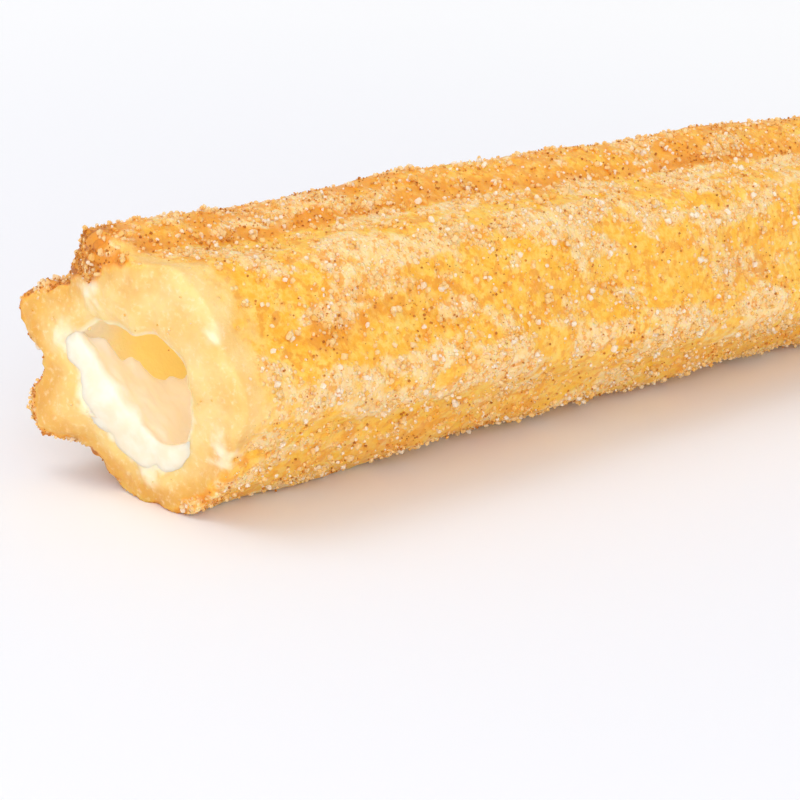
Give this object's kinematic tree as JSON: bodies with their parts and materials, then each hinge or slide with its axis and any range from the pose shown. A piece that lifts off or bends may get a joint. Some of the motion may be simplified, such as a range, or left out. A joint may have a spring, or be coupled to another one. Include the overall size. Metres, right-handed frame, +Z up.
{
  "type": "churro",
  "caption": "Ridged stick of fried dough rolled in cinnamon sugar, with a hollow filled with white cream, cut at both ends and lying on its side.",
  "frame": {"origin": "middle of the footprint, on the surface that the churro rests on", "axes": "+X along the churro from the open cut end to the other end, +Y to the back, +Z up"},
  "size_m": [0.1237, 0.0293, 0.0279],
  "materials": {
    "fried_dough": "fried, golden, rough with sugar",
    "white_cream": "soft, moist"
  },
  "bodies": {
    "root": {"dough": "fried_dough", "cream": "white_cream"}
  },
  "joints": []
}
